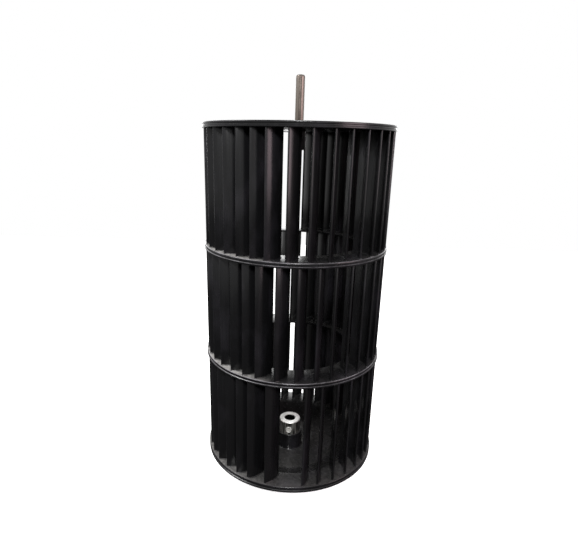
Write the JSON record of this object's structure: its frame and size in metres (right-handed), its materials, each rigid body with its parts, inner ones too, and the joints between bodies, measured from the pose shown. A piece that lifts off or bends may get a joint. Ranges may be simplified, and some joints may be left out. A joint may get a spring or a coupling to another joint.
{
  "type": "cross-flow fan wheel",
  "caption": "Long cross-flow blower wheel: three sections of curved blades between rings, with a bored steel hub at the motor end and a stub shaft at the free end.",
  "frame": {"origin": "middle of the flat underside of the motor-end disc's dish, on the wheel's axis", "axes": "+Z along the wheel's axis towards the stub shaft, -Y towards the gap of the left-out blade"},
  "size_m": [0.13, 0.13, 0.283],
  "materials": {
    "wheel_plastic": "black moulded plastic with a soft sheen",
    "shaft_steel": "drawn bright steel",
    "insert_steel": "turned and zinc-plated steel",
    "screw_steel": "plain steel"
  },
  "bodies": {
    "root": {"free_end_disc": "wheel_plastic", "upper_section": "wheel_plastic", "middle_section": "wheel_plastic", "lower_section": "wheel_plastic", "motor_end_disc": "wheel_plastic", "stub_shaft": "shaft_steel", "hub_insert": "insert_steel", "grub_screw": "screw_steel"}
  },
  "joints": []
}
